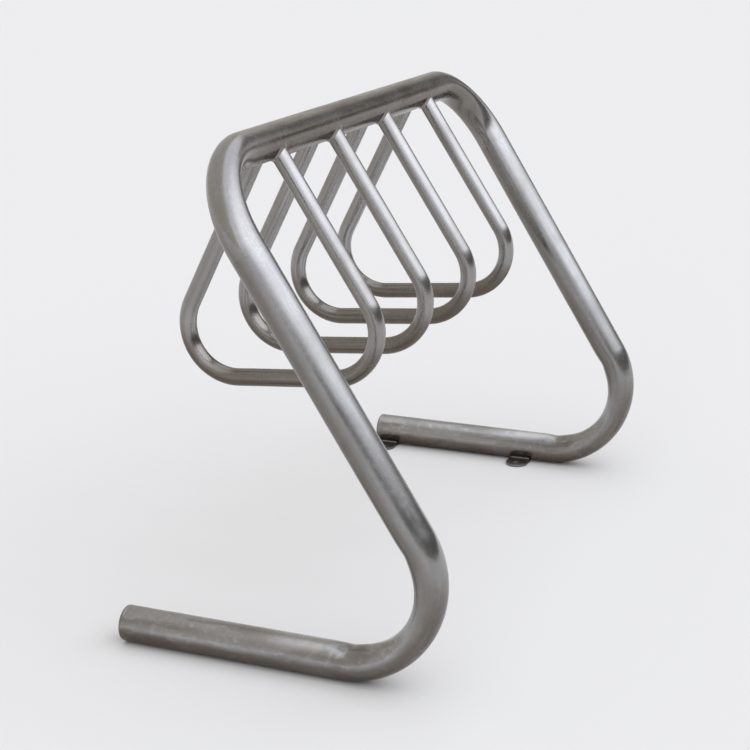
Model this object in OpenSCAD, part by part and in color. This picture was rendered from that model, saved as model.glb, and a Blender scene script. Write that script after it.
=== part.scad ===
// Bike rack of bent stainless tube.
// One tube frame stands on two ground runs. Each run bends up into a leg that leans back over
// it, and the legs meet in a crossbar. Four triangular hoops of thinner tube hang from the
// crossbar, and a wheel is parked between two of them. All joints are welded.
// The frame: +Z is up, X runs along the crossbar, and +Y points from the bends to the ends of
// the ground runs. The origin is on the ground, under the middle of the rack.

/* [Frame] */
// Overall height of the rack
rack_height = 840; // [780:5:960]
// Distance between the two ground runs, from centre to centre
leg_spacing = 1108; // [1060:2:1400]
// Outside diameter of the frame tube
tube_d = 60.3; // [54:0.1:64]
// Wall of the frame tube
tube_wall = 2.5; // [2:0.1:4]
// Turn from the ground up to a leg, in the leg's own plane
leg_angle = 58; // [52:0.1:66]
// Outward lean of the legs, seen from the front, which makes the crossbar wider than the feet
leg_splay = 1; // [0:0.1:2]
// Radius of the bend at the foot of each leg, to the tube's axis
foot_bend_r = 146; // [130:1:165]
// Radius of the bend at each end of the crossbar, to the tube's axis
top_bend_r = 138; // [110:1:165]
// Straight length of each ground run, with its end cap
run_l = 398; // [370:1:520]
// Straight length between a crossbar bend and its seam with the leg
seam_drop = 15; // [8:1:40]

/* [End caps] */
// Thickness of the disc that closes a ground run
cap_t = 4; // [3:0.5:6]

/* [Hoops] */
// Distance from one hoop to the next
hoop_pitch = 220; // [120:1:225]
// Outside diameter of the hoop tube
hoop_d = 30; // [26:0.5:31]
// Wall of the hoop tube
hoop_wall = 2; // [1.5:0.1:3]
// Distance from the crossbar's axis to each side's axis, measured level with the crossbar
hoop_split = 9.2; // [0:0.1:11]
// Length of a hoop's front side, from the level of the crossbar's axis to the triangle's corner
hoop_front_l = 448; // [410:1:500]
// Length of a hoop's rear side, from the level of the crossbar's axis to the triangle's corner
hoop_rear_l = 467; // [420:1:500]
// Slope of a hoop's front side, below the horizontal
hoop_front_angle = 57.1; // [52:0.1:60]
// Slope of a hoop's rear side, below the horizontal
hoop_rear_angle = 63.1; // [56:0.1:65]
// Radius of a hoop's two lower corners, to the tube's axis
hoop_bend_r = 86; // [70:1:98]

/* [Anchor tabs] */
// Width of a tab, which is also the diameter of its round tip
tab_w = 46; // [40:1:60]
// Thickness of a tab
tab_t = 5; // [4:0.5:8]
// Distance from the ground run's axis to the tip of a tab
tab_reach = 65; // [60:1:90]
// Diameter of the anchor hole in a tab
tab_hole_d = 14; // [9:0.5:16]
// Distance from the tip of a tab to the centre of its hole
tab_hole_inset = 18; // [16:0.5:24]
// Distance from the front tab to the rear tab on one run
tab_pitch = 308; // [200:1:314]
// Distance from the rear tab's edge to the end of the run
tab_end_gap = 1; // [0:1:20]

/* [Welds] */
// Width of the weld around the top of a hoop's side
hoop_bead = 4; // [2:0.5:5]
// Depth of the welded groove at a seam
groove_depth = 1.6; // [1:0.1:1.9]
// Half the width of the welded groove at a seam
groove_half_w = 2; // [1.5:0.1:2.8]
// Height of the weld above the tube at a leg seam
seam_crown = 0.5; // [0.2:0.1:1]
// Height of the weld above the tube at an end cap, where it is ground almost flush
cap_crown = 0.2; // [0.1:0.1:0.5]
// Radius of the weld between a tab and its run
tab_bead_r = 5; // [4:0.5:6]

/* [Hidden] */
$fn = 96;
// Cuts run this far past the faces that they open
eps = 1;
// A bent stretch of tube is this much thicker than a straight one, inside and out
bend_swell = 0.1;
// A straight stretch reaches this far into the wall of the bend that it runs into
lap = 0.5;
// Longer than any stretch of the rack, for cuts without an end
far = 2000;

tube_r = tube_d / 2;
hoop_r = hoop_d / 2;
leg_x = leg_spacing / 2;

// A leg in its own plane, which leans outwards about the run's axis: the axes of the run and the
// leg cross at the foot point, which is y = 0 until the whole rack is centred
axis_z = tube_r + bend_swell;
crossbar_z = rack_height - tube_r - bend_swell;
leg_l = (crossbar_z - axis_z) / (sin(leg_angle) * cos(leg_splay));
crossbar_y = leg_l * cos(leg_angle);
foot_tangent = foot_bend_r / tan(leg_angle / 2);
run_end = foot_tangent + run_l;

// The plane that holds the crossbar and the legs: its slope, and a leg's turn away from square
// to the crossbar in it
plane_angle = atan(tan(leg_angle) * cos(leg_splay));
leg_flare = asin(sin(leg_angle) * sin(leg_splay));
top_x = leg_x + leg_l * sin(leg_flare);
top_tangent = top_bend_r * tan((90 + leg_flare) / 2);
seam_at = leg_l - top_tangent - seam_drop;
leg_straight = seam_at - foot_tangent;

// Side view of a hoop, measured from the crossbar's axis
front_top = [-hoop_split, 0];
rear_top = [hoop_split, 0];
hoop_front = front_top - hoop_front_l * [cos(hoop_front_angle), sin(hoop_front_angle)];
hoop_rear = rear_top + hoop_rear_l * [cos(hoop_rear_angle), -sin(hoop_rear_angle)];
hoop_base = hoop_rear - hoop_front;
hoop_tilt = atan2(hoop_base[1], hoop_base[0]);
front_corner = hoop_front_angle - hoop_tilt;
rear_corner = hoop_rear_angle + hoop_tilt;
front_tangent = hoop_bend_r / tan(front_corner / 2);
rear_tangent = hoop_bend_r / tan(rear_corner / 2);
front_centre = hoop_front + front_tangent * [cos(hoop_front_angle), sin(hoop_front_angle)]
    + hoop_bend_r * [sin(hoop_front_angle), -cos(hoop_front_angle)];
rear_centre = hoop_rear + rear_tangent * [-cos(hoop_rear_angle), sin(hoop_rear_angle)]
    + hoop_bend_r * [-sin(hoop_rear_angle), -cos(hoop_rear_angle)];
base_l = norm(hoop_base) - front_tangent - rear_tangent;

// Directions of the two sides of a hoop, and the line midway between them
front_dir = 180 + hoop_front_angle;
rear_dir = 360 - hoop_rear_angle;
mid_dir = (front_dir + rear_dir) / 2;

// The rack's extent from front to back, which places its middle over the origin
hoop_reach = hoop_bend_r + hoop_r + bend_swell;
front_y = min(foot_tangent - foot_bend_r - tube_r - bend_swell, crossbar_y + front_centre[0] - hoop_reach);
back_y = max(run_end, crossbar_y + rear_centre[0] + hoop_reach);
middle_y = (front_y + back_y) / 2;

// A tab's square end lies under the flank of the tube, where the gap is half a tab high
tab_root = sqrt(pow(tube_r, 2) - pow(axis_z - tab_t / 2, 2));
tab_rear_y = run_end - tab_end_gap - tab_w / 2;
tab_front_y = tab_rear_y - tab_pitch;
tab_hole_x = tab_reach - tab_hole_inset;
// The bead is lifted off the tab by half its radius and touches the tube
tab_bead_z = tab_t + tab_bead_r / 2;
tab_bead_x = sqrt(pow(tube_r + tab_bead_r / 3, 2) - pow(axis_z - tab_bead_z, 2));

tube_colour = [0.62, 0.61, 0.60];
hoop_colour = [0.66, 0.66, 0.66];
weld_colour = [0.50, 0.48, 0.46];
tab_colour = [0.42, 0.41, 0.40];

// Centres the rack over the origin
module centred() translate([0, -middle_y, 0]) children();

// Turns a side view, drawn as y and z in the XY plane, to stand upright at a given x
module side_view(x) translate([x, 0, 0]) rotate([90, 0, 90]) children();

// Moves to the foot point of a leg and leans outwards about the run's axis
module leg_lean(side) translate([side * leg_x, 0, axis_z]) rotate([0, side * leg_splay, 0]) children();

// Moves to the crossbar's axis and tilts the XY plane to hold the crossbar and the legs
module leg_plane() translate([0, crossbar_y, crossbar_z]) rotate([plane_angle, 0, 0]) children();

// The round section of a tube, with its wall
module section(d, wall) difference() {
    circle(d = d);
    circle(d = d - 2 * wall);
}

// A straight tube in the XY plane, from a point in a direction, that reaches into a bend at
// its start and its end where these are told
module straight(from, dir, d, wall, l, start_lap = 0, end_lap = 0)
    translate([from[0], from[1], 0]) rotate([0, 0, dir]) rotate([0, 90, 0])
        translate([0, 0, -start_lap]) linear_extrude(l + start_lap + end_lap) section(d, wall);

// A bent tube in the XY plane, about a centre. Its wall swells a little, as bent tube does
module bend(centre, r, d, wall, start, sweep)
    translate([centre[0], centre[1], 0]) rotate([0, 0, start])
        rotate_extrude(angle = sweep) translate([r, 0]) section(d + 2 * bend_swell, wall + 2 * bend_swell);

// A solid rod in the XY plane, from a point in a direction
module rod(from, dir, d, l)
    translate([from[0], from[1], 0]) rotate([0, 0, dir]) rotate([0, 90, 0]) cylinder(d = d, h = l);

// The groove at a seam, about Z, cut into both tubes that meet at z = 0
module groove() {
    run_out = 1 + eps / groove_depth;
    rotate_extrude() polygon([
        [tube_r - groove_depth, 0],
        [tube_r + eps, -groove_half_w * run_out],
        [tube_r + eps, groove_half_w * run_out]
    ]);
}

// The weld that fills a groove, with its crown above the tube
module ring_weld(crown)
    rotate_extrude() polygon([
        [tube_r - groove_depth, 0],
        [tube_r, -groove_half_w],
        [tube_r + crown * 0.75, -groove_half_w * 0.55],
        [tube_r + crown, 0],
        [tube_r + crown * 0.75, groove_half_w * 0.55],
        [tube_r, groove_half_w]
    ]);

// Places a ring on the leg's seam, about the leg's axis
module at_seam(side) leg_lean(side) rotate([leg_angle - 90, 0, 0]) translate([0, 0, seam_at]) children();

// Places a ring on the joint between a ground run and its end cap, about the run's axis
module at_cap(side) translate([side * leg_x, run_end - cap_t, axis_z]) rotate([-90, 0, 0]) children();

module crossbar() centred() color(tube_colour) difference() {
    corner = top_x - top_tangent;
    stub = [corner + top_bend_r * cos(leg_flare), -top_bend_r * (1 + sin(leg_flare))];
    leg_plane() {
        straight([-corner, 0], 0, tube_d, tube_wall, 2 * corner, lap, lap);
        bend([corner, -top_bend_r], top_bend_r, tube_d, tube_wall, -leg_flare, 90 + leg_flare);
        bend([-corner, -top_bend_r], top_bend_r, tube_d, tube_wall, 90, 90 + leg_flare);
        straight(stub, -90 - leg_flare, tube_d, tube_wall, seam_drop, lap);
        straight([-stub[0], stub[1]], -90 + leg_flare, tube_d, tube_wall, seam_drop, lap);
    }
    for (side = [-1, 1]) at_seam(side) groove();
}

// A ground run, the bend at its foot and the leg, in one length of tube
module leg(side) centred() color(tube_colour) difference() {
    leg_lean(side) side_view(0) {
        straight([foot_tangent, 0], 0, tube_d, tube_wall, run_l - cap_t, lap);
        bend([foot_tangent, foot_bend_r], foot_bend_r, tube_d, tube_wall, 90 + leg_angle, 180 - leg_angle);
        straight(foot_tangent * [cos(leg_angle), sin(leg_angle)], leg_angle,
            tube_d, tube_wall, leg_straight, lap);
    }
    at_seam(side) groove();
    at_cap(side) groove();
}

module end_cap(side) centred() color(tube_colour) difference() {
    at_cap(side) cylinder(d = tube_d, h = cap_t);
    at_cap(side) groove();
}

// Places a hoop's side view under the crossbar
module hoop_view(number)
    side_view((number - 2.5) * hoop_pitch) translate([crossbar_y, crossbar_z]) children();

// The crossbar's outside where a hoop meets it, grown by an allowance
module crossbar_core(grow) cylinder(d = tube_d + 2 * grow, h = 4 * hoop_d, center = true);

// A triangle of bent tube whose two upper ends are coped to the crossbar
module hoop(number) centred() color(hoop_colour) hoop_view(number) difference() {
    union() {
        straight(front_top, front_dir, hoop_d, hoop_wall, hoop_front_l - front_tangent, 0, lap);
        bend(front_centre, hoop_bend_r, hoop_d, hoop_wall, 90 + hoop_front_angle, 180 - front_corner);
        straight(hoop_front + front_tangent * [cos(hoop_tilt), sin(hoop_tilt)], hoop_tilt,
            hoop_d, hoop_wall, base_l, lap, lap);
        bend(rear_centre, hoop_bend_r, hoop_d, hoop_wall, 270 + hoop_tilt, 180 - rear_corner);
        straight(rear_top, rear_dir, hoop_d, hoop_wall, hoop_rear_l - rear_tangent, 0, lap);
    }
    crossbar_core(0);
}

// The weld around one side of a hoop, which stops midway to the other side's weld
module hoop_weld(number, dir) {
    other = dir == front_dir ? 1 : -1;
    top = other > 0 ? front_top : rear_top;
    centred() color(weld_colour) hoop_view(number) difference() {
        intersection() {
            rod(top, dir, hoop_d + 2 * hoop_bead, tube_r + hoop_bead + hoop_r);
            crossbar_core(hoop_bead);
        }
        crossbar_core(0);
        rod(top, dir, hoop_d, tube_d);
        rotate([0, 0, mid_dir]) translate([0, other * far / 2, 0]) cube(far, center = true);
    }
}

module seam_weld(side) centred() color(weld_colour) at_seam(side) ring_weld(seam_crown);

module cap_weld(side) centred() color(weld_colour) at_cap(side) ring_weld(cap_crown);

// Moves to the ground under a run's axis and turns +X to point inwards, under the rack
module at_tab(side, y)
    centred() translate([side * leg_x, y, 0]) rotate([0, 0, side > 0 ? 180 : 0]) children();

// The run's outside where a tab meets it
module run_core() translate([0, far / 2, axis_z]) rotate([90, 0, 0]) cylinder(d = tube_d, h = far);

// A tongue with a round tip, coped to the flank of the tube, with an anchor hole
module tab(side, y) at_tab(side, y) color(tab_colour) difference() {
    union() {
        translate([tab_root, -tab_w / 2, 0]) cube([tab_reach - tab_w / 2 - tab_root, tab_w, tab_t]);
        translate([tab_reach - tab_w / 2, 0, 0]) cylinder(d = tab_w, h = tab_t);
    }
    run_core();
    translate([tab_hole_x, 0, -eps]) cylinder(d = tab_hole_d, h = tab_t + 2 * eps);
}

// The weld in the groove between a tab's top and the tube
module tab_weld(side, y) at_tab(side, y) color(weld_colour) difference() {
    translate([tab_bead_x, tab_w / 2, tab_bead_z]) rotate([90, 0, 0]) cylinder(r = tab_bead_r, h = tab_w);
    run_core();
    translate([0, -tab_w, tab_t - tab_w]) cube([2 * tab_w, 2 * tab_w, tab_w]);
}

crossbar();
leg(-1);  // left_leg
leg(1);  // right_leg
hoop(1);  // hoop_1
hoop(2);  // hoop_2
hoop(3);  // hoop_3
hoop(4);  // hoop_4
hoop_weld(1, front_dir);  // hoop_1_front_weld
hoop_weld(1, rear_dir);  // hoop_1_rear_weld
hoop_weld(2, front_dir);  // hoop_2_front_weld
hoop_weld(2, rear_dir);  // hoop_2_rear_weld
hoop_weld(3, front_dir);  // hoop_3_front_weld
hoop_weld(3, rear_dir);  // hoop_3_rear_weld
hoop_weld(4, front_dir);  // hoop_4_front_weld
hoop_weld(4, rear_dir);  // hoop_4_rear_weld
seam_weld(-1);  // left_seam_weld
seam_weld(1);  // right_seam_weld
end_cap(-1);  // left_end_cap
end_cap(1);  // right_end_cap
cap_weld(-1);  // left_cap_weld
cap_weld(1);  // right_cap_weld
tab(-1, tab_front_y);  // left_front_tab
tab(-1, tab_rear_y);  // left_rear_tab
tab(1, tab_front_y);  // right_front_tab
tab(1, tab_rear_y);  // right_rear_tab
tab_weld(-1, tab_front_y);  // left_front_tab_weld
tab_weld(-1, tab_rear_y);  // left_rear_tab_weld
tab_weld(1, tab_front_y);  // right_front_tab_weld
tab_weld(1, tab_rear_y);  // right_rear_tab_weld
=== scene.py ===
# %% [markdown]
# # A bike rack of bent stainless tube
# The rack is one thick tube, bent into a frame that leans back over its two ground runs, with
# four triangular hoops of thinner tube welded under the crossbar. Everything on it is either
# tube, weld metal or a small flat plate, so the work here is about bending a tube well and
# about giving plain steel the brushed, slightly stained finish of the real thing.

# %% Load the measured model
from math import atan, atan2, asin, cos, degrees, exp, hypot, pi, radians, sin, sqrt, tan

import bmesh
import bpy
from mathutils import Matrix, Vector


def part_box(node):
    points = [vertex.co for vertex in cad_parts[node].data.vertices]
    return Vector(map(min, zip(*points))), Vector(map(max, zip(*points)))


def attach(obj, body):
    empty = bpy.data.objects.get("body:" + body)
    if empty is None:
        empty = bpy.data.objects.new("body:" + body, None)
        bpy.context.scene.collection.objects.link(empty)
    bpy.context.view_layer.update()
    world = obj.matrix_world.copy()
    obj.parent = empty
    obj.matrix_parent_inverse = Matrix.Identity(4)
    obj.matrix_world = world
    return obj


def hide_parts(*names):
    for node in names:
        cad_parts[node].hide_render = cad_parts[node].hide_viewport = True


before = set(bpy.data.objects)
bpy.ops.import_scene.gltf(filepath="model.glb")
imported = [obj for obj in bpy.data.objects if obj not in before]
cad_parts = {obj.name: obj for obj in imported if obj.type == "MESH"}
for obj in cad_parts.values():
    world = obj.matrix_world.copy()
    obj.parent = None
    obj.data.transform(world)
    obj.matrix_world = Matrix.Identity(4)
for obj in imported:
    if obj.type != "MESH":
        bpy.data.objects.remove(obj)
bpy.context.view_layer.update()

# %% [markdown]
# ## The sizes
# The measured model was drawn from a short list of sizes. They are repeated here in metres, and
# the places of bends and seams are worked out from them, so that each new piece lands exactly
# where the model has it. Reading places off the model's vertices would also work, but it would
# hide which size a shape comes from.

# %% Sizes of the frame tube
rack_height = 0.84
leg_spacing = 1.108
tube_d = 0.0603
tube_wall = 0.0025
leg_angle = radians(58)
leg_splay = radians(1)
foot_bend_r = 0.146
top_bend_r = 0.138
run_l = 0.398
seam_drop = 0.015
cap_t = 0.004
bend_swell = 0.0001

tube_r = tube_d / 2
leg_x = leg_spacing / 2
axis_z = tube_r + bend_swell
crossbar_z = rack_height - tube_r - bend_swell
leg_l = (crossbar_z - axis_z) / (sin(leg_angle) * cos(leg_splay))
crossbar_y = leg_l * cos(leg_angle)
foot_tangent = foot_bend_r / tan(leg_angle / 2)
run_end = foot_tangent + run_l
plane_angle = atan(tan(leg_angle) * cos(leg_splay))
leg_flare = asin(sin(leg_angle) * sin(leg_splay))
top_x = leg_x + leg_l * sin(leg_flare)
top_tangent = top_bend_r * tan((pi / 2 + leg_flare) / 2)
seam_at = leg_l - top_tangent - seam_drop
corner_x = top_x - top_tangent

# The model is centred over the origin from front to back
front_y = foot_tangent - foot_bend_r - tube_r - bend_swell
middle_y = (front_y + run_end) / 2
print("leg", round(leg_l, 4), "seam at", round(seam_at, 4), "middle", round(middle_y, 4))

# %% Sizes of the hoops
hoop_pitch = 0.22
hoop_d = 0.03
hoop_wall = 0.002
hoop_split = 0.0092
hoop_front_l = 0.448
hoop_rear_l = 0.467
hoop_front_angle = radians(57.1)
hoop_rear_angle = radians(63.1)
hoop_bend_r = 0.086

hoop_r = hoop_d / 2
front_top = Vector((-hoop_split, 0, 0))
rear_top = Vector((hoop_split, 0, 0))
front_heading = pi + hoop_front_angle
rear_heading = -hoop_rear_angle


def heading_vector(angle):
    """The direction at an angle in the XY plane."""
    return Vector((cos(angle), sin(angle), 0))


front_low = front_top + hoop_front_l * heading_vector(front_heading)
rear_low = rear_top + hoop_rear_l * heading_vector(rear_heading)
base = rear_low - front_low
base_tilt = atan2(base.y, base.x)
front_corner = hoop_front_angle - base_tilt
rear_corner = hoop_rear_angle + base_tilt
front_tangent = hoop_bend_r / tan(front_corner / 2)
rear_tangent = hoop_bend_r / tan(rear_corner / 2)
base_l = base.length - front_tangent - rear_tangent
hoop_places = [(number - 2.5) * hoop_pitch for number in (1, 2, 3, 4)]
print("hoops at", hoop_places, "base", round(base_l, 4), "tilt", round(degrees(base_tilt), 2))

# %% [markdown]
# ## The camera
# The camera stands where the photograph was taken from: to the left of the rack, a little above
# it, looking down about 17 degrees. Its place and lens were found by fitting the tubes' edges,
# so they are written as numbers. The matrix's columns are the camera's right, its up and the
# direction behind it.

# %% Set up the camera
image_width = 750
focal_length_px = 1713.26
sensor_width = 36

camera_right = Vector((0.3860467438, -0.9224233189, -0.0101554121))
camera_up = Vector((0.2669058668, 0.1011522559, 0.9583994362))
camera_back = Vector((-0.8830227460, -0.3726975207, 0.2852496945))
camera_place = Vector((-2.80974534, -1.11823345, 1.23739478))

camera_data = bpy.data.cameras.new("camera")
camera_data.sensor_width = sensor_width
camera_data.lens = focal_length_px * sensor_width / image_width
camera = bpy.data.objects.new("camera", camera_data)
bpy.context.scene.collection.objects.link(camera)
camera.matrix_world = Matrix.Translation(camera_place) @ Matrix(
    (camera_right, camera_up, camera_back)).transposed().to_4x4()
bpy.context.scene.camera = camera
print("lens", round(camera_data.lens, 2), "mm")

# %% [markdown]
# ## Bending a tube
# A tube bender feeds a straight tube and pulls it round a round former. The same can be done
# with a bmesh: a ring of vertices is extruded along a straight stretch, and spun about the
# bend's centre for a bend. A curve object with a round bevel would be quicker, but it has no
# exact arcs, and it can't be flattened in a bend as real tube is.
#
# While a ring moves, each vertex remembers where it would be on the straight tube. This is
# kept in an attribute named unbent: across, out of the bend's plane, and along. The brushed
# finish is painted on the straight tube, so its lines follow every bend.

# %% Helpers that bend a tube in the XY plane
# The former's edge presses a crease this far into each end of a bend, and this long
crease_in = 0.01
crease_l = 0.016


def new_ring(bm, radius, sides, at, heading):
    """A ring of vertices square to the heading, which knows its place on the straight tube."""
    unbent = bm.verts.layers.float_vector["unbent"]
    ring = bmesh.ops.create_circle(bm, segments=sides, radius=radius)["verts"]
    for vert in ring:
        vert[unbent] = vert.co
    left = heading_vector(heading + pi / 2)
    turn = Matrix((left, Vector((0, 0, 1)), heading_vector(heading))).transposed().to_4x4()
    bmesh.ops.transform(bm, matrix=Matrix.Translation(at) @ turn, verts=ring)
    return ring


def ring_edges(ring):
    """The edges that join a ring's own vertices."""
    members = set(ring)
    return [edge for edge in {e for vert in ring for e in vert.link_edges}
            if edge.verts[0] in members and edge.verts[1] in members]


def next_verts(geometry):
    return [item for item in geometry if isinstance(item, bmesh.types.BMVert)]


def sweep_tube(bm, radius, sides, start, heading, path):
    """Sweeps a ring along straights and bends, and returns a record of each ring that it left.

    A straight is ("straight", length, rings), and a bend is ("bend", radius, angle, rings,
    flattening, crease), where a positive angle turns left. The flattening is the share of the
    half-width that the bend loses at its middle, and the crease is how deep the former pressed
    the inner side at either end of the bend.
    """
    unbent = bm.verts.layers.float_vector["unbent"]
    at = start.copy()
    ring = new_ring(bm, radius, sides, at, heading)
    along = 0
    rings = [{"verts": ring, "along": along, "left": heading_vector(heading + pi / 2), "flat": 0}]
    creases = []
    for kind, *how in path:
        if kind == "straight":
            length, steps = how
            for step in range(steps):
                grown = bmesh.ops.extrude_edge_only(bm, edges=ring_edges(ring))["geom"]
                ring = next_verts(grown)
                bmesh.ops.translate(bm, vec=heading_vector(heading) * length / steps, verts=ring)
                along += length / steps
                for vert in ring:
                    vert[unbent] = (vert[unbent].x, vert[unbent].y, along)
                rings.append({"verts": ring, "along": along,
                              "left": heading_vector(heading + pi / 2), "flat": 0})
            at += heading_vector(heading) * length
        else:
            bend_r, angle, steps, flattening, crease = how
            side = 1 if angle > 0 else -1
            creases += [(along + crease_in, side * crease),
                        (along + bend_r * abs(angle) - crease_in, side * crease)]
            centre = at + side * bend_r * heading_vector(heading + pi / 2)
            for step in range(steps):
                grown = bmesh.ops.spin(bm, geom=ring_edges(ring), cent=centre, axis=(0, 0, 1),
                                       angle=angle / steps, steps=1)["geom_last"]
                ring = next_verts(grown)
                heading += angle / steps
                along += bend_r * abs(angle) / steps
                for vert in ring:
                    vert[unbent] = (vert[unbent].x, vert[unbent].y, along)
                share = (step + 1) / steps
                rings.append({"verts": ring, "along": along,
                              "left": heading_vector(heading + pi / 2),
                              "flat": flattening * sin(pi * min(share, 1)) ** 1.2})
            at = centre - side * bend_r * heading_vector(heading + pi / 2)
    for ring in rings:
        dent = sum(crease * exp(-((ring["along"] - at) / crease_l) ** 2)
                   for at, crease in creases)
        if not ring["flat"] and abs(dent) < 1e-5:
            continue
        for vert in ring["verts"]:
            across = vert[unbent].x
            inner = max(0, across / radius * (1 if dent > 0 else -1))
            vert.co -= ring["left"] * (across * ring["flat"] + dent * inner ** 2)
    return rings


# %% [markdown]
# A tube has a bore, so it is swept twice, outside and inside, and the two are bridged at the
# ends. One closed wall is left, whose normals can then be recalculated safely.

# %% Helpers that finish a tube
def new_bmesh():
    """A bmesh whose vertices can hold their place on the straight tube."""
    bm = bmesh.new()
    bm.verts.layers.float_vector.new("unbent")
    return bm


def bridge_ends(bm, outer, inner):
    """Closes the wall between the outside and the bore at both ends."""
    for end in (0, -1):
        edges = ring_edges(outer[end]["verts"]) + ring_edges(inner[end]["verts"])
        bmesh.ops.bridge_loops(bm, edges=edges)
    bmesh.ops.recalc_face_normals(bm, faces=bm.faces)


def wrap_uv(bm, radius):
    """A UV map whose U runs round the tube and V along it, both in metres."""
    unbent = bm.verts.layers.float_vector["unbent"]
    layer = bm.loops.layers.uv.new("wrap")
    for face in bm.faces:
        turns = [atan2(loop.vert[unbent].y, loop.vert[unbent].x) / (2 * pi)
                 for loop in face.loops]
        for loop, turn in zip(face.loops, turns):
            if max(turns) - turn > 0.5:
                turn += 1
            loop[layer].uv = (turn * 2 * pi * radius, loop.vert[unbent].z)


def finished_object(bm, name, place, sharp=radians(40)):
    """Moves a bmesh to its place and gives it an object of its own, smooth but for its rims."""
    bmesh.ops.transform(bm, matrix=place, verts=bm.verts)
    mesh = bpy.data.meshes.new(name)
    bm.to_mesh(mesh)
    bm.free()
    mesh.shade_smooth()
    mesh.set_sharp_from_angle(angle=sharp)
    piece = bpy.data.objects.new(name, mesh)
    bpy.context.scene.collection.objects.link(piece)
    return piece


def install(piece, node, material=None):
    """Says which piece of the model this one stands for, and gives it its finish."""
    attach(piece, "root")
    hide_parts(node)
    if material:
        piece.data.materials.append(material)
    low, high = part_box(node)
    print(node, len(piece.data.polygons), "faces, model from", low, "to", high)


# %% Placing the XY plane on the rack
side_view = Matrix(((0, 0, 1, 0), (1, 0, 0, 0), (0, 1, 0, 0), (0, 0, 0, 1)))


def leg_place(side):
    """The leaning plane of a leg and its ground run: X runs back along the run, and Y up."""
    return (Matrix.Translation((side * leg_x, -middle_y, axis_z))
            @ Matrix.Rotation(side * leg_splay, 4, "Y") @ side_view)


def hoop_place(x):
    """A hoop's upright plane, measured from the crossbar's axis."""
    return Matrix.Translation((x, crossbar_y - middle_y, crossbar_z)) @ side_view


crossbar_place = (Matrix.Translation((0, crossbar_y - middle_y, crossbar_z))
                  @ Matrix.Rotation(plane_angle, 4, "X"))

# %% [markdown]
# ## The frame tube
# Each leg is one length of tube: a ground run, the bend at its foot and the leg up to the seam.
# The crossbar brings its two corner bends with it. Bent on a simple former, a tube goes oval:
# its inner and outer sides come closer together, most at the middle of the bend. The corners
# of the crossbar were pulled tighter, so they are flatter than the bends at the feet. At the
# feet the former's edge also left a shallow crease where a bend starts, and it shows as a small
# light mark. The straights next to the feet have more rings of vertices, so that the crease
# runs out smoothly into them.

# %% Bend the legs and the crossbar
frame_sides = 96
foot_flattening = 0.18
corner_flattening = 0.22

foot_crease = 0.0019
crease_reach = 0.04
leg_path = [
    ("straight", run_l - cap_t - crease_reach, 8),
    ("straight", crease_reach, 10),
    ("bend", foot_bend_r, leg_angle - pi, 80, foot_flattening, foot_crease),
    ("straight", crease_reach, 10),
    ("straight", leg_l - foot_tangent - top_tangent - seam_drop - crease_reach, 8),
]
crossbar_path = [
    ("straight", seam_drop, 2),
    ("bend", top_bend_r, -pi / 2 - leg_flare, 48, corner_flattening, 0),
    ("straight", 2 * corner_x, 16),
    ("bend", top_bend_r, -pi / 2 - leg_flare, 48, corner_flattening, 0),
    ("straight", seam_drop, 2),
]
leg_start = Vector((run_end - cap_t, 0, 0))
stub_heading = pi / 2 + leg_flare
stub_end = Vector((-corner_x - top_bend_r * cos(leg_flare),
                   -top_bend_r * (1 + sin(leg_flare)), 0))
crossbar_start = stub_end - seam_drop * heading_vector(stub_heading)


def bend_tube(name, radius, wall, sides, start, heading, path, place):
    """A tube with its bore, swept along a path and closed at both rims."""
    bm = new_bmesh()
    outer = sweep_tube(bm, radius, sides, start, heading, path)
    inner = sweep_tube(bm, radius - wall, sides, start, heading, path)
    bridge_ends(bm, outer, inner)
    wrap_uv(bm, radius)
    return finished_object(bm, name, place)


left_leg = bend_tube("left_leg_tube", tube_r, tube_wall, frame_sides,
                     leg_start, pi, leg_path, leg_place(-1))
right_leg = bend_tube("right_leg_tube", tube_r, tube_wall, frame_sides,
                      leg_start, pi, leg_path, leg_place(1))
crossbar = bend_tube("crossbar_tube", tube_r, tube_wall, frame_sides,
                     crossbar_start, stub_heading, crossbar_path, crossbar_place)

# %% [markdown]
# ## The hoops
# A hoop is one length of the thinner tube with two bends. Its upper ends are coped: cut to the
# curve of the crossbar, so that they sit on it without a gap. A boolean cut would give the same
# shape with ragged faces. Sliding the last ring of vertices along the tube until each one
# touches the crossbar keeps the mesh clean.

# %% Bend and cope the hoops
hoop_sides = 64
hoop_flattening = 0.04
hoop_path = [
    ("straight", hoop_front_l - front_tangent, 6),
    ("bend", hoop_bend_r, pi - front_corner, 48, hoop_flattening, 0),
    ("straight", base_l, 4),
    ("bend", hoop_bend_r, pi - rear_corner, 48, hoop_flattening, 0),
    ("straight", hoop_rear_l - rear_tangent, 6),
]


def slide_to_crossbar(point, direction, radius=tube_r):
    """How far a point has to go in a direction to lie on a cylinder about the crossbar's axis."""
    flat = Vector((point.x, point.y, 0))
    back = flat.dot(direction)
    return sqrt(back * back - flat.length_squared + radius * radius) - back


def cope(bm, ring, direction):
    """Moves a ring's vertices along the tube onto the crossbar."""
    unbent = bm.verts.layers.float_vector["unbent"]
    for vert in ring["verts"]:
        slide = slide_to_crossbar(vert.co, direction)
        vert.co += slide * direction
        vert[unbent] += Vector((0, 0, slide if ring["along"] == 0 else -slide))


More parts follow.
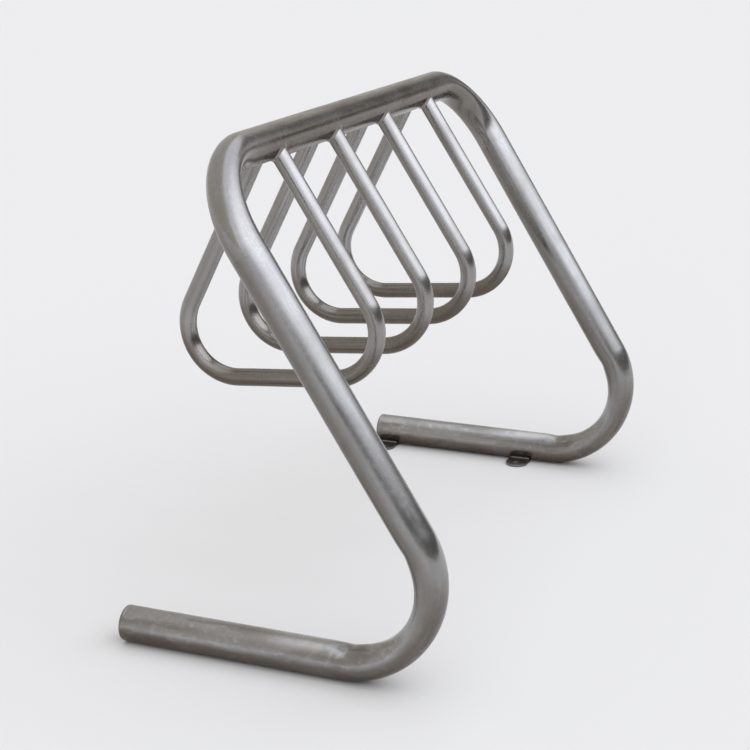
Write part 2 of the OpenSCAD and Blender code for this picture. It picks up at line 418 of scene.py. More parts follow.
def bend_hoop(number, x):
    bm = new_bmesh()
    outer = sweep_tube(bm, hoop_r, hoop_sides, front_top, front_heading, hoop_path)
    inner = sweep_tube(bm, hoop_r - hoop_wall, hoop_sides, front_top, front_heading, hoop_path)
    for rings in (outer, inner):
        cope(bm, rings[0], heading_vector(front_heading))
        cope(bm, rings[-1], heading_vector(rear_heading))
    bridge_ends(bm, outer, inner)
    wrap_uv(bm, hoop_r)
    return finished_object(bm, f"hoop_{number}_tube", hoop_place(x))


hoops = [bend_hoop(number, x) for number, x in enumerate(hoop_places, 1)]

# %% [markdown]
# ## Weld beads
# Each hoop end is held by a bead of weld metal all round it. A bead is laid as a row of small
# overlapping pools, which leaves it rippled. It is built from circles: each is slid onto the
# crossbar, pushed outwards for its place across the bead, and bridged to the next. The ripples
# are geometry, because they catch the light even from a distance.

# %% Lay the beads round the hoop ends
bead_w = 0.004
bead_sides = 192
bead_ripples = 30
ripple_depth = 0.00025
bead_tuck = 0.0002
# Each circle's place across the bead: the share of its width out along the crossbar, up along
# the hoop, and above the straight line between the two
bead_profile = [(1.0, 0.0, -0.12), (0.86, 0.08, 0.0), (0.62, 0.22, 0.05), (0.42, 0.42, 0.08),
                (0.22, 0.62, 0.05), (0.08, 0.86, 0.0), (0.0, 1.0, -0.12)]


def hoop_weld(name, top, heading, place):
    """The bead between a side of a hoop, from its top in a heading, and the crossbar."""
    bm = bmesh.new()
    along = heading_vector(heading)
    left = heading_vector(heading + pi / 2)
    out_of_plane = Vector((0, 0, 1))
    circles = []
    for out, up, _ in bead_profile:
        circle = bmesh.ops.create_circle(bm, segments=bead_sides, radius=hoop_r)["verts"]
        for vert in circle:
            turn = atan2(vert.co.y, vert.co.x)
            away = cos(turn) * left + sin(turn) * out_of_plane
            ripple = ripple_depth * abs(sin(bead_ripples * turn / 2)) - ripple_depth
            reach = hoop_r + out * bead_w
            foot = top + reach * away
            foot += slide_to_crossbar(foot, along) * along
            normal = Vector((foot.x, foot.y, 0)).normalized()
            vert.co = foot + (up * bead_w) * along
            crown = 4 * out * up
            vert.co += crown * ripple * (normal + away)
            if out == 1:
                vert.co -= bead_tuck * normal
            if up == 1:
                vert.co -= bead_tuck * away
        circles.append(circle)
    for lower, upper in zip(circles, circles[1:]):
        bmesh.ops.bridge_loops(bm, edges=ring_edges(lower) + ring_edges(upper))
    # The hidden side of the bead lies against both tubes
    bmesh.ops.bridge_loops(bm, edges=ring_edges(circles[-1]) + ring_edges(circles[0]))
    bmesh.ops.recalc_face_normals(bm, faces=bm.faces)
    return finished_object(bm, name, place, sharp=radians(60))


hoop_welds = {}
for number, x in enumerate(hoop_places, 1):
    for end, top, heading in (("front", front_top, front_heading),
                              ("rear", rear_top, rear_heading)):
        name = f"hoop_{number}_{end}_weld"
        hoop_welds[name] = hoop_weld(name + "_bead", top, heading, hoop_place(x))
print(len(hoop_welds), "hoop beads")

# %% [markdown]
# ## Ring welds
# The legs meet the crossbar at a butt weld, and a disc is welded into the open end of each
# ground run. Both welds are rings: a short profile of the bead is spun once about the tube. Both
# were ground back, the seam until it is flush and the weld at the cap until it is almost so. A
# flush weld takes the tube's own finish, so each ring also remembers its place on the straight
# tube, as the tube's own vertices do.

# %% Spin the ring welds
seam_half_w = 0.002
seam_crown = 0.00002
seam_ripple = 0.00001
cap_crown = 0.0002
cap_ripple = 0.00006
groove_depth = 0.0016
groove_half_w = 0.0003
ring_steps = 288
ring_ripples = 58
leg_tube_l = (run_l - cap_t + foot_bend_r * (pi - leg_angle)
              + leg_l - foot_tangent - top_tangent - seam_drop)


def ring_weld(name, crown, ripple, place, on_tube):
    """A bead about Z, with its crown above the tube and its root in the groove.

    on_tube turns a place on the bead into its place on the straight tube.
    """
    bm = new_bmesh()
    half = [(tube_r - groove_depth, groove_half_w), (tube_r, seam_half_w),
            (tube_r + 0.6 * crown, 0.7 * seam_half_w), (tube_r + 0.95 * crown, 0.3 * seam_half_w)]
    profile = [(r, -z) for r, z in half] + half[::-1]
    verts = [bm.verts.new((r, 0, z)) for r, z in profile]
    edges = [bm.edges.new(pair) for pair in zip(verts, verts[1:] + verts[:1])]
    bmesh.ops.spin(bm, geom=verts + edges, cent=(0, 0, 0), axis=(0, 0, 1), angle=2 * pi,
                   steps=ring_steps, use_merge=True)
    bmesh.ops.remove_doubles(bm, verts=bm.verts, dist=1e-6)
    for vert in bm.verts:
        r = hypot(vert.co.x, vert.co.y)
        if r > tube_r + 1e-6:
            turn = atan2(vert.co.y, vert.co.x)
            dip = ripple * (1 - abs(sin(ring_ripples * turn / 2)))
            vert.co -= dip * Vector((vert.co.x, vert.co.y, 0)) / r
    unbent = bm.verts.layers.float_vector["unbent"]
    for vert in bm.verts:
        vert[unbent] = on_tube(vert.co)
    bmesh.ops.recalc_face_normals(bm, faces=bm.faces)
    wrap_uv(bm, tube_r)
    return finished_object(bm, name, place, sharp=radians(60))


def seam_on_tube(at):
    """Where a place on the bead between the leg and the crossbar is on the straight leg."""
    return Vector((-at.y, at.x, leg_tube_l + at.z))


def cap_on_tube(at):
    """Where a place on the bead round the cap is on the straight leg."""
    return Vector((at.y, at.x, -at.z))


def seam_place(side):
    """About the leg's axis, at its seam with the crossbar."""
    return (Matrix.Translation((side * leg_x, -middle_y, axis_z))
            @ Matrix.Rotation(side * leg_splay, 4, "Y")
            @ Matrix.Rotation(leg_angle - pi / 2, 4, "X")
            @ Matrix.Translation((0, 0, seam_at)))


def cap_place(side):
    """About the run's axis, at its joint with the end cap."""
    return (Matrix.Translation((side * leg_x, run_end - cap_t - middle_y, axis_z))
            @ Matrix.Rotation(-pi / 2, 4, "X"))


sides = {"left": -1, "right": 1}
seam_welds = {name: ring_weld(f"{name}_seam_bead", seam_crown, seam_ripple,
                              seam_place(side), seam_on_tube)
              for name, side in sides.items()}
cap_welds = {name: ring_weld(f"{name}_cap_bead", cap_crown, cap_ripple,
                             cap_place(side), cap_on_tube)
             for name, side in sides.items()}
print(len(seam_welds) + len(cap_welds), "ring welds on tubes", round(leg_tube_l, 3), "long")

# %% [markdown]
# ## End caps
# The disc that closes a ground run was ground round its edge. It is a capped circle, extruded
# to its thickness and bevelled.

# %% Make the end caps
cap_edge_r = 0.0012
cap_inset = 0.0001


def end_cap(name, place):
    bm = bmesh.new()
    bmesh.ops.create_circle(bm, cap_ends=True, segments=frame_sides,
                            radius=tube_r - cap_inset)
    grown = bmesh.ops.extrude_face_region(bm, geom=bm.faces[:])["geom"]
    face_verts = next_verts(grown)
    bmesh.ops.translate(bm, vec=(0, 0, cap_t), verts=face_verts)
    bmesh.ops.bevel(bm, geom=ring_edges(face_verts), offset=cap_edge_r, segments=4,
                    profile=0.5, affect="EDGES", material=-1)
    bmesh.ops.recalc_face_normals(bm, faces=bm.faces)
    return finished_object(bm, name, place)


end_caps = {name: end_cap(f"{name}_end_disc", cap_place(side)) for name, side in sides.items()}
print(len(end_caps), "end caps")

# %% [markdown]
# ## Anchor tabs
# A tab is a tongue of plate with a round tip and a hole for an anchor bolt, welded under the
# flank of a ground run. A circle makes the round tip: the half of it that points to the tube is
# pushed back to make the square end. A second circle is the hole, and bridging the two gives a
# plate with a hole that needs no cut.

# %% Make the anchor tabs and their beads
tab_w = 0.046
tab_t = 0.005
tab_reach = 0.065
tab_hole_d = 0.014
tab_hole_inset = 0.018
tab_pitch = 0.308
tab_end_gap = 0.001
tab_edge_r = 0.0007
tab_bead_r = 0.003
# The square end's corners are reached by stretching the circle's half this much to the sides
square_stretch = 1.42
# A bead's length is this share of the tab's width, its thickness this share of its full size,
# and its ripples take this share away
tab_bead_share = 0.94
bead_slack = 0.97
tab_ripple = 0.06

tab_root = sqrt(tube_r ** 2 - (axis_z - tab_t / 2) ** 2)
tab_rear_y = run_end - tab_end_gap - tab_w / 2 - middle_y
tab_front_y = tab_rear_y - tab_pitch


def tab_place(side, y):
    """On the ground under a run's axis, with X pointing inwards under the rack."""
    return (Matrix.Translation((side * leg_x, y, 0))
            @ Matrix.Rotation(pi if side > 0 else 0, 4, "Z"))


def tab_plate(name, place):
    bm = bmesh.new()
    tip_x = tab_reach - tab_w / 2
    outline = bmesh.ops.create_circle(bm, segments=64, radius=tab_w / 2)["verts"]
    for vert in outline:
        if vert.co.x < -1e-6:
            across = max(-1, min(1, square_stretch * vert.co.y / (tab_w / 2)))
            vert.co = Vector((tab_root - tip_x, across * tab_w / 2, 0))
        vert.co.x += tip_x
    bmesh.ops.remove_doubles(bm, verts=bm.verts, dist=1e-6)
    outline = [vert for vert in bm.verts]
    hole = bmesh.ops.create_circle(bm, segments=64, radius=tab_hole_d / 2)["verts"]
    bmesh.ops.translate(bm, vec=(tab_reach - tab_hole_inset, 0, 0), verts=hole)
    bmesh.ops.bridge_loops(bm, edges=ring_edges(outline) + ring_edges(hole))
    grown = bmesh.ops.extrude_face_region(bm, geom=bm.faces[:])["geom"]
    bmesh.ops.translate(bm, vec=(0, 0, tab_t), verts=next_verts(grown))
    bmesh.ops.recalc_face_normals(bm, faces=bm.faces)
    rims = [edge for edge in bm.edges if edge.calc_face_angle(0) > radians(60)]
    bmesh.ops.bevel(bm, geom=rims, offset=tab_edge_r, segments=2, profile=0.5,
                    affect="EDGES", material=-1, clamp_overlap=True)
    return finished_object(bm, name, place, sharp=radians(30))


def tab_weld(name, place):
    """A rippled bead along the groove between the tab and the tube."""
    bm = bmesh.new()
    bead_z = tab_t + tab_bead_r / 2
    bead_x = sqrt((tube_r + tab_bead_r / 3) ** 2 - (axis_z - bead_z) ** 2)
    steps = 90
    ring = bmesh.ops.create_circle(bm, segments=24, radius=1)["verts"]
    bmesh.ops.rotate(bm, cent=(0, 0, 0), matrix=Matrix.Rotation(pi / 2, 3, "X"), verts=ring)
    rings = [ring]
    for step in range(steps):
        ring = next_verts(bmesh.ops.extrude_edge_only(bm, edges=ring_edges(ring))["geom"])
        bmesh.ops.translate(bm, vec=(0, tab_w * tab_bead_share / steps, 0), verts=ring)
        rings.append(ring)
    for step, ring in enumerate(rings):
        share = 2 * step / steps - 1
        rounding = sqrt(max(0.05, 1 - abs(share) ** 8))
        ripple = 1 - tab_ripple * abs(sin(step * pi / 6))
        bmesh.ops.scale(bm, vec=(tab_bead_r * bead_slack * rounding * ripple,) * 3,
                        space=Matrix.Translation((0, -ring[0].co.y, 0)), verts=ring)
    bmesh.ops.contextual_create(bm, geom=ring_edges(rings[0]))
    bmesh.ops.contextual_create(bm, geom=ring_edges(rings[-1]))
    bmesh.ops.translate(bm, vec=(bead_x, -tab_w * tab_bead_share / 2, bead_z), verts=bm.verts)
    bmesh.ops.recalc_face_normals(bm, faces=bm.faces)
    return finished_object(bm, name, place)


tabs = {}
tab_beads = {}
for name, side in sides.items():
    for end, y in (("front", tab_front_y), ("rear", tab_rear_y)):
        tabs[f"{name}_{end}_tab"] = tab_plate(f"{name}_{end}_plate", tab_place(side, y))
        tab_beads[f"{name}_{end}_tab_weld"] = tab_weld(f"{name}_{end}_bead", tab_place(side, y))
print(len(tabs), "tabs")

# %% [markdown]
# ## Brushed steel
# Stainless tube for street furniture is brushed along its length with a belt. That leaves fine
# lines, which spread a highlight round the tube but keep it short along it, so the shader is
# anisotropic, with its tangent round the tube. A picture of brushed steel would have to be
# unwrapped onto each tube, and would repeat. Noise needs neither: the lines and smears are noise
# on the straight tube, stretched along it, and the grain, clouds and scuffs are noise in space.
#
# A node tree gets long when each node and link is written out. A small class adds a node with
# its settings and links in one call, and has names for the few kinds that the finishes share.

# %% Helpers for node trees
def new_material(name):
    material = bpy.data.materials.new(name)
    material.use_nodes = True
    material.node_tree.nodes.clear()
    return material


class Tree:
    """Adds nodes to a tree from left to right, with their settings and links in one call."""

    def __init__(self, tree):
        self.tree = tree
        self.column = 0

    def add(self, kind, inputs=None, **settings):
        node = self.tree.nodes.new(kind)
        node.location = (self.column * 200, 0)
        self.column += 1
        for name, value in settings.items():
            setattr(node, name, value)
        for name, value in (inputs or {}).items():
            socket = node.inputs[name]
            if isinstance(value, bpy.types.NodeSocket):
                self.tree.links.new(value, socket)
            else:
                socket.default_value = value
        return node

    def noise(self, vector, stretch, scale, detail=3.0, roughness=0.5):
        """Noise between 0 and 1 on a vector whose axes are scaled first."""
        mapped = self.add("ShaderNodeMapping", {"Vector": vector, "Scale": stretch})
        return self.add("ShaderNodeTexNoise", {
            "Vector": mapped.outputs["Vector"], "Scale": scale, "Detail": detail,
            "Roughness": roughness}).outputs["Fac"]

    def between(self, value, low, high, to_low=0.0, to_high=1.0, smooth=True):
        """Maps a range of a value onto another, and clamps what lies outside."""
        return self.add("ShaderNodeMapRange", {
            "Value": value, "From Min": low, "From Max": high, "To Min": to_low,
            "To Max": to_high},
            interpolation_type="SMOOTHSTEP" if smooth else "LINEAR").outputs["Result"]

    def split(self, vector):
        """The X, Y and Z of a vector."""
        return self.add("ShaderNodeSeparateXYZ", {"Vector": vector}).outputs

    def math(self, operation, first, second=0.0):
        return self.add("ShaderNodeMath", {0: first, 1: second},
                        operation=operation).outputs["Value"]

    def mix(self, factor, first, second, blend="MIX"):
        node = self.add("ShaderNodeMix", data_type="RGBA", blend_type=blend)
        for index, value in ((0, factor), (6, first), (7, second)):
            if isinstance(value, bpy.types.NodeSocket):
                self.tree.links.new(value, node.inputs[index])
            else:
                node.inputs[index].default_value = value
        return node.outputs[2]


# %% [markdown]
# ## The layers of a finish
# A tube's colour is mixed in layers over one steel grey: the belt's grain and lines, then stains,
# then the marks of feet and wheels near the ground with a painted highlight on the runs' tops,
# and last painted shade on the undersides and a darker tone round the hoops' bases. All layers
# read the same few noises, so they are made once for each finish.

# %% Patterns that the layers share
# Marks of the ground begin at the first height and are all there at the second
ground_marks_top = 0.16
ground_marks_full = 0.07


def shade(colour, red, green=None, blue=None):
    """A colour with its channels scaled, all by the first number if it stands alone."""
    shares = (red, red if green is None else green, red if blue is None else blue)
    return (*[channel * share for channel, share in zip(colour, shares)], 1)


def tube_patterns(tree):
    """What the layers of a tube's finish read, by name."""
    unbent = tree.add("ShaderNodeAttribute", attribute_name="unbent").outputs["Vector"]
    place = tree.add("ShaderNodeTexCoord").outputs["Object"]
    normal = tree.split(tree.add("ShaderNodeNewGeometry").outputs["Normal"])
    at = tree.split(place)
    return {
        "x": at["X"], "height": at["Z"], "along": tree.split(unbent)["Z"],
        "up": normal["Z"], "back": normal["Y"],
        "low": tree.between(at["Z"], ground_marks_top, ground_marks_full),
        "grain": tree.noise(place, (1, 1, 1), 480, detail=2, roughness=0.6),
        "mottle": tree.noise(place, (1, 1, 1), 120, detail=3, roughness=0.6),
        "clouds": tree.noise(place, (1, 1, 1), 13, detail=3, roughness=0.5),
        "scuffs": tree.noise(place, (1, 1, 1.6), 60, detail=6, roughness=0.7),
        "lines": tree.noise(unbent, (1, 1, 0.03), 420, detail=4, roughness=0.6),
        "smears": tree.noise(unbent, (1, 1, 0.16), 34, detail=5, roughness=0.62),
        "wipes": tree.noise(unbent, (1, 1, 0.3), 17, detail=3, roughness=0.55),
    }


# %% [markdown]
# The belt's lines are fine noise, stretched far along the tube and mixed in as a darker, warmer
# grey. Stains are wider and softer noise. They could be painted by hand, but that is long work
# on seven tubes for marks that only have to look random.

# %% Layer of brushed lines and stains
def brushed(tree, on, colour, below, streak, stain):
    """Dark lines, light mottling and brownish smears, the smears also strong near the ground."""
    lined = tree.mix(tree.math("MULTIPLY", tree.between(on["lines"], 0.4, 0.7), streak), below,
                     shade(colour, 0.7, 0.63, 0.56))
    mottled = tree.mix(tree.between(on["mottle"], 0.45, 0.7, 0, 0.35), lined, shade(colour, 1.2))
    stained = tree.math("MAXIMUM", stain, tree.math("MULTIPLY", on["low"], 0.6))
    return tree.mix(tree.math("MULTIPLY", tree.between(on["smears"], 0.46, 0.62), stained),
                    mottled, shade(colour, 0.6, 0.55, 0.5))


# %% [markdown]
# Shoes and tyres reach only the lowest part of the rack. They wipe mud along it, grit leaves
# light scuffs, and the lowest few centimetres are darker and browner. Each mark is a noise times
# a share that falls with height, so it fades out up the leg without an edge. The top of a run
# just behind its foot bend is lighter too, partly from the rubbing of shoes and partly a painted
# highlight.

# %% Layer of marks near the ground, and a painted highlight on the runs' tops
# The lighter top of a run, partly a painted highlight, fades out this far from its middle
rubbed_highlight_half_l = 0.1
# The bottom of a tube is darker and browner below this height
bottom_darkening_top = 0.035


def ground_marks_and_highlight(tree, on, colour, below, rubbed_highlight_at):
    """Dark wipes, light scuffs, a darker and browner bottom, soft clouds over all, and a lighter
    top near the foot bend, partly from rubbing and partly a painted highlight.
    """
    wiped = tree.mix(tree.math("MULTIPLY", tree.between(on["wipes"], 0.5, 0.6), on["low"]), below,
                     shade(colour, 0.68, 0.65, 0.62))
    scuffed = tree.mix(tree.math("MULTIPLY", tree.between(on["scuffs"], 0.5, 0.7),
                                 tree.between(on["low"], 0, 1, 0.12, 0.7)), wiped,
                       shade(colour, 1.35))
    if rubbed_highlight_at is not None:
        # Lighter tops near the foot bend: partly the rubbing of shoes, partly a painted highlight
        apart = tree.math("ABSOLUTE", tree.math("SUBTRACT", on["along"], rubbed_highlight_at))
        rubbed_highlight = tree.math("MULTIPLY", tree.between(apart, rubbed_highlight_half_l, 0.02),
                           tree.between(on["up"], 0.4, 0.85))
        uneven = tree.between(on["clouds"], 0.35, 0.6, 0.4, 1)
        scuffed = tree.mix(tree.math("MULTIPLY", rubbed_highlight, uneven), scuffed, shade(colour, 1.6))
    # Darker and browner towards the bottom, unevenly
    bottom_darkening = tree.math("MULTIPLY", tree.between(on["height"], bottom_darkening_top, 0.008),
                      tree.between(on["clouds"], 0.3, 0.6, 0.3, 0.9))
    bottom_darkened = tree.mix(bottom_darkening, scuffed, shade(colour, 0.6, 0.47, 0.36))
    return tree.mix(tree.between(on["clouds"], 0.45, 0.7, 0, 0.6), bottom_darkened,
                    shade(colour, 0.82, 0.79, 0.76))


# %% [markdown]
# The undersides get painted shade, a brown darkening that is placed by the way that the surface
# faces and multiplied over the colour. The hoops' bases are also made darker and browner all
# round.

# %% Layer of painted shade on undersides, and a darker tone round the hoops' bases
hoop_base_top = 0.5
# How much darker and browner the hoops' bases are made all round
base_darkening_tint = (0.62, 0.57, 0.52, 1)
# The brown of the painted shade on undersides
underside_shade_tint = (0.54, 0.495, 0.445, 1)


def base_tint_and_underside_shade(tree, on, below, back_underside_shade, front_underside_shade, base_darkening):
    """A darker, browner tone all round the hoops' bases, and painted shade on undersides, full
    from the hoops' bases down.
    """
    based = tree.mix(tree.between(on["height"], hoop_base_top, 0.46, 0, base_darkening), below,
                     base_darkening_tint, blend="MULTIPLY")
    # Painted shade on the undersides, with its own amount for those that face the back and the
    # front
    underside_shade_amount = tree.between(on["back"], -0.3, 0.15, front_underside_shade, back_underside_shade)
    under = tree.math("MULTIPLY", tree.between(on["up"], 0.3, -0.2),
                      tree.between(on["height"], hoop_base_top, 0.42, underside_shade_amount, 1))
    return tree.mix(under, based, underside_shade_tint, blend="MULTIPLY")


# %% [markdown]
# The layers end in one metal shader. Metal has no colour under its shine, so the stains tint
# what it mirrors. Stained steel is duller too, so its roughness rises with the same clouds.

# %% Shader of a brushed tube
def brushed_shader(tree, on, tinted, roughness):
    """A metal that is duller in its clouds, with a very low relief."""
    wear = tree.math("ADD", tree.math("MULTIPLY", on["clouds"], 0.7),
                     tree.math("MULTIPLY", on["mottle"], 0.3))
    duller = tree.between(wear, 0.35, 0.65, -0.04, 0.08, smooth=False)
    relief = tree.math("ADD", tree.math("MULTIPLY", on["grain"], 0.15),
                       tree.math("MULTIPLY", on["mottle"], 0.85))
    bump = tree.add("ShaderNodeBump", {
        "Strength": 0.14, "Distance": 0.00006, "Height": relief})
    tangent = tree.add("ShaderNodeTangent", direction_type="UV_MAP", uv_map="wrap")
    shader = tree.add("ShaderNodeBsdfPrincipled", {
        "Base Color": tinted, "Metallic": 1.0,
        "Roughness": tree.math("ADD", duller, roughness), "Anisotropic": 0.5,
        "Normal": bump.outputs["Normal"], "Tangent": tangent.outputs["Tangent"]})
    tree.add("ShaderNodeOutputMaterial", {"Surface": shader.outputs["BSDF"]})


# %% [markdown]
# The crossbar is where bicycles knock and hands rub. It carries more streaks than the legs, and
# is darker and browner on its front, where it doesn't face up. Its two ends are satin like the
# legs, so that no step in the finish shows at the seams: every value of the crossbar's finish
# fades into the legs' own.

# %% Finish of a tube
satin_roughness = 0.22
satin_streak = 0.2
satin_stain = 0.2
worn_middle = 0.02
worn_fade = 0.05
# The crossbar is made darker and browner by this on its front, where it doesn't face up
crossbar_front_tint = (0.4, 0.31, 0.25, 1)


def steel(name, colour, roughness, streak, stain, back_underside_shade=1.0, front_underside_shade=1.0, base_darkening=0.0,
          weathered_x=None, rubbed_highlight_at=None):
    """Steel finished along the tube that it is put on.

    streak and stain, from 0 to 1, say how much of its brushed lines and of its stains show.
    The next three numbers say how much painted shade darkens the undersides that face the
    back and those that face the front, and how much darker and browner the hoops' bases are
    all round. Where weathered_x is given, a tube along X is darker and browner on its front
    out to there, where it doesn't face up, and has the satin finish of the legs beyond. The
    last number is how far along its tube the top of a run is lighter, partly from the rubbing
    of shoes and partly a painted highlight.
    """
    material = new_material(name)
    tree = Tree(material.node_tree)
    on = tube_patterns(tree)
    tinted = tree.mix(tree.between(on["grain"], 0.3, 0.7), shade(colour, 0.96),
                      shade(colour, 1.04))
    if weathered_x is not None:
        apart = tree.math("ABSOLUTE", tree.math("SUBTRACT", on["x"], worn_middle))
        worn = tree.between(apart, weathered_x + worn_fade, weathered_x - worn_fade)
        streak = tree.between(worn, 0, 1, satin_streak, streak)
        stain = tree.between(worn, 0, 1, satin_stain, stain)
        roughness = tree.between(worn, 0, 1, satin_roughness, roughness)
        in_front = tree.math("MULTIPLY", worn, tree.between(on["up"], 0.65, 0.3))
        tinted = tree.mix(in_front, tinted, crossbar_front_tint, blend="MULTIPLY")
    tinted = brushed(tree, on, colour, tinted, streak, stain)
    tinted = ground_marks_and_highlight(tree, on, colour, tinted, rubbed_highlight_at)
    tinted = base_tint_and_underside_shade(tree, on, tinted, back_underside_shade, front_underside_shade, base_darkening)
    brushed_shader(tree, on, tinted, roughness)
    return material


# %% [markdown]
# Weld metal and plate aren't brushed. They are dull and grainy, with a brownish heat tint in
# patches, and the same on all sides, so noise in space is enough for them.

# %% Finish of weld metal and plate
clouds_per_grain = 1 / 12
roughness_spread = 0.08


def plain_steel(name, colour, roughness, grain_scale, bump_distance):
    """Steel that isn't brushed along a tube."""
    material = new_material(name)
    tree = Tree(material.node_tree)
    place = tree.add("ShaderNodeTexCoord").outputs["Object"]
    grain = tree.noise(place, (1, 1, 1), grain_scale, detail=4)
    clouds = tree.noise(place, (1, 1, 1), grain_scale * clouds_per_grain, detail=2)
    mottled = tree.mix(tree.between(grain, 0.3, 0.7), shade(colour, 0.8), shade(colour, 1.15))
    tinted = tree.mix(tree.between(clouds, 0.4, 0.7, 0.0, 0.7), mottled,
                      shade(colour, 0.9, 0.78, 0.66))
    rough = tree.between(grain, 0.25, 0.75, roughness - roughness_spread,
                         roughness + roughness_spread, smooth=False)
    bump = tree.add("ShaderNodeBump", {
        "Strength": 0.5, "Distance": bump_distance, "Height": grain})
    shader = tree.add("ShaderNodeBsdfPrincipled", {
        "Base Color": tinted, "Metallic": 1.0, "Roughness": rough,
        "Normal": bump.outputs["Normal"]})
    tree.add("ShaderNodeOutputMaterial", {"Surface": shader.outputs["BSDF"]})
    return material


# %% [markdown]
# ## The rack's own finishes
# The greys are darker than clean stainless steel. Steel shows what is round it, and the white
# floor here is brighter than the paving that the real rack stood on, so a darker grey gives the
# same look. The tops of the runs are lighter just behind the foot bend, partly from the rubbing
# of a resting foot and partly a painted highlight.

# %% Mix the finishes
# The runs' tops are lighter, partly from rubbing and partly a painted highlight, centred this far
# before the foot bend
rubbed_highlight_behind_bend = 0.06
leg_steel = steel("satin_leg_steel", (0.375, 0.375, 0.379), satin_roughness, satin_streak,
                  satin_stain, rubbed_highlight_at=run_l - cap_t - rubbed_highlight_behind_bend)
crossbar_steel = steel("streaked_crossbar_steel", (0.365, 0.361, 0.36), 0.23, 0.85, 1.0,
                       back_underside_shade=0.8, front_underside_shade=0.8, weathered_x=0.43)
hoop_steel = steel("brushed_hoop_steel", (0.38, 0.376, 0.373), 0.24, 0.1, 0.3,
                   back_underside_shade=0.8, front_underside_shade=0.15, base_darkening=0.8)
weld_steel = plain_steel("weld_metal", (0.3, 0.28, 0.26), 0.32, 900, 0.0001)
tab_bead_steel = plain_steel("tab_bead_metal", (0.27, 0.25, 0.235), 0.4, 900, 0.0001)
plate_steel = plain_steel("plate_steel", (0.22, 0.215, 0.21), 0.42, 400, 0.00015)
for finish in (leg_steel, crossbar_steel, hoop_steel, weld_steel, tab_bead_steel, plate_steel):
    print(finish.name, len(finish.node_tree.nodes), "nodes")

# %% [markdown]
# ## Handing over the pieces
# Each shape takes the place of its piece in the measured model. The ring welds were ground and
# brushed with the legs, so they have the legs' finish. The beads that nobody ground have their
# own.

# %% Put the pieces in the model's places
install(crossbar, "crossbar", crossbar_steel)
install(left_leg, "left_leg", leg_steel)
install(right_leg, "right_leg", leg_steel)
for number, hoop in enumerate(hoops, 1):
    install(hoop, f"hoop_{number}", hoop_steel)
for name, bead in hoop_welds.items():
    install(bead, name, weld_steel)
for name, bead in seam_welds.items():
    install(bead, f"{name}_seam_weld", leg_steel)
for name, bead in cap_welds.items():
    install(bead, f"{name}_cap_weld", leg_steel)
for name, disc in end_caps.items():
    install(disc, f"{name}_end_cap", plate_steel)
for name, plate in tabs.items():
    install(plate, name, plate_steel)
for name, bead in tab_beads.items():
    install(bead, name, tab_bead_steel)

# %% [markdown]
# ## The studio
# A plain pale floor fills the whole picture, because the camera looks down. Tubes show what
# surrounds them, and the same light and dark bands lie on every tube in the photograph, so the
# rack stood in an open place: bright sky over it, a tall dim wall behind it, a low dark one in
# front of it and something dark beyond its far end. Area lamps could stand for the sky, but
# the floor would darken away from them. Here the sky is painted with soft edges instead.

# %% Floor
floor_half_w = 60
floor_colour = (0.73, 0.721, 0.706, 1)

floor_bm = bmesh.new()
bmesh.ops.create_grid(floor_bm, x_segments=1, y_segments=1, size=floor_half_w)
floor = finished_object(floor_bm, "floor", Matrix.Identity(4))
floor_material = new_material("pale_floor")
floor_tree = Tree(floor_material.node_tree)
floor_shader = floor_tree.add("ShaderNodeBsdfDiffuse", {"Color": floor_colour})
floor_tree.add("ShaderNodeOutputMaterial", {"Surface": floor_shader.outputs["BSDF"]})
floor.data.materials.append(floor_material)
print("floor", 2 * floor_half_w, "m wide")

# %% Open sky
side_glow = 1.22
zenith_glow = 1.2
bright_glow = 2.35
bright_azimuth = radians(-98)
bright_elevation = radians(38)
# The bright part of the sky is at its full glow within the first angle, and ends at the second
bright_core = radians(12)
bright_reach = radians(58)

world = bpy.data.worlds.new("studio")
bpy.context.scene.world = world
world.use_nodes = True
world.node_tree.nodes.clear()
sky = Tree(world.node_tree)
way = sky.add("ShaderNodeTexCoord").outputs["Generated"]


def along_sky(x, y, z):
    """How far the direction of the sky goes along a vector."""
    return sky.add("ShaderNodeVectorMath", {0: way, 1: (x, y, z)},
                   operation="DOT_PRODUCT").outputs["Value"]


glow = sky.between(along_sky(0, 0, 1), sin(radians(50)), sin(radians(75)), side_glow,
                   zenith_glow)
towards_bright = along_sky(cos(bright_elevation) * cos(bright_azimuth),
                           cos(bright_elevation) * sin(bright_azimuth), sin(bright_elevation))
glow = sky.between(towards_bright, cos(bright_reach), cos(bright_core), glow, bright_glow)
print("sky from", side_glow, "to", bright_glow, "at azimuth", round(degrees(bright_azimuth)))

# %% [markdown]
# The top of a straight wall is where a direction's height equals its reach towards the wall
# times the wall's slope, so one subtraction gives each wall. The wall at the far end isn't wide:
# it is cut off on both sides by an upright plane through the rack.

# %% Walls round the sky
# Each wall's azimuth, the tangent of its height, its glow and how soft its top is
walls = [(radians(92), 2.36, 0.58, 0.1), (radians(-91), 0.51, 0.15, 0.05)]
far_wall_azimuth = radians(5)
far_wall_slope = 0.78
far_wall_glow_front = 0.19
far_wall_glow_back = 0.5
far_wall_softness = 0.05
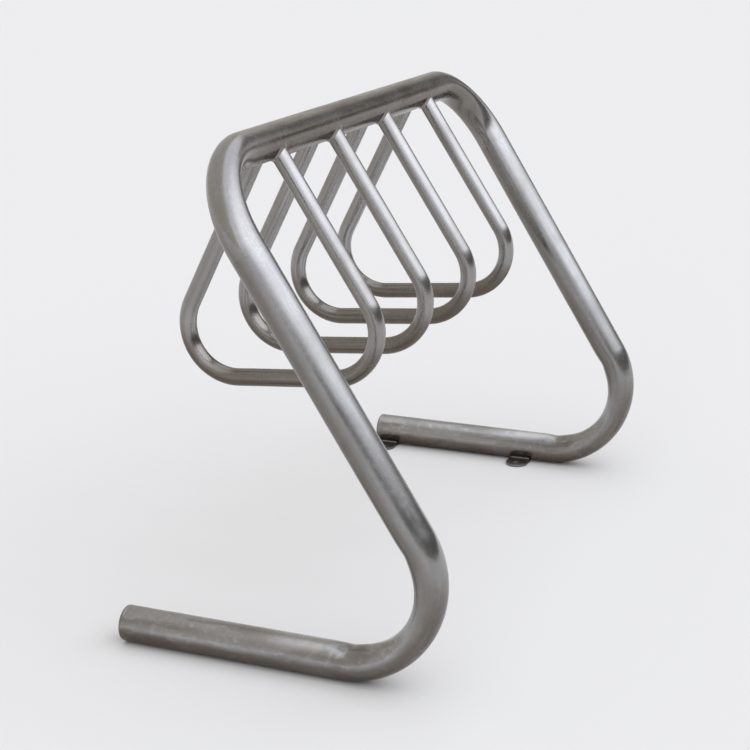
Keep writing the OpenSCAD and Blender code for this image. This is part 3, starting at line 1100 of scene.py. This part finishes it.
# It spans 23 degrees to the front of the rack's long axis and 14 to its back
far_wall_ends = (radians(14) + pi / 2, radians(-23) - pi / 2)


def above_wall(azimuth, slope):
    """How far a direction is above a wall's top, and below it where negative."""
    return along_sky(-slope * cos(azimuth), -slope * sin(azimuth), 1)


for azimuth, slope, wall_glow, softness in walls:
    glow = sky.between(above_wall(azimuth, slope), -softness, softness, wall_glow, glow)
clear = above_wall(far_wall_azimuth, far_wall_slope)
for azimuth in far_wall_ends:
    clear = sky.math("MAXIMUM", clear, along_sky(cos(azimuth), sin(azimuth), 0))
far_wall_glow = sky.between(along_sky(0, 1, 0), -0.08, 0.12, far_wall_glow_front,
                            far_wall_glow_back)
glow = sky.between(clear, -far_wall_softness, far_wall_softness, far_wall_glow, glow)
print(len(walls) + 1, "walls")

# %% [markdown]
# Walls are a little warm and the sky a little cool. In a low view the camera looks past the
# floor's edge, and there it gets the floor's own tone, so that the picture has one pale
# background. The tubes show that background too, in a narrow band over the horizon.

# %% Tint the light and add the background
wall_tint = (1.05, 1.0, 0.93, 1)
sky_tint = (0.96, 0.99, 1.06, 1)
background_colour = (0.838, 0.842, 0.857, 1)
band_full = radians(1)
band_top = radians(3)

tint = sky.mix(sky.between(glow, 0.6, 1.4), wall_tint, sky_tint)
grey = sky.add("ShaderNodeCombineXYZ", {"X": glow, "Y": glow, "Z": glow}).outputs["Vector"]
lit = sky.mix(1.0, tint, grey, blend="MULTIPLY")
light_path = sky.add("ShaderNodeLightPath").outputs
near_horizon = sky.math("MULTIPLY", light_path["Is Glossy Ray"], sky.between(
    along_sky(0, 0, 1), sin(band_top), sin(band_full)))
seen = sky.math("MAXIMUM", light_path["Is Camera Ray"], light_path["Is Transmission Ray"])
shown = sky.math("MAXIMUM", near_horizon, seen)
background = sky.add("ShaderNodeBackground", {
    "Color": sky.mix(shown, lit, background_colour)})
sky.add("ShaderNodeOutputWorld", {"Surface": background.outputs["Background"]})
bpy.context.scene.view_settings.view_transform = "Standard"
print(len(world.node_tree.nodes), "nodes light the rack")
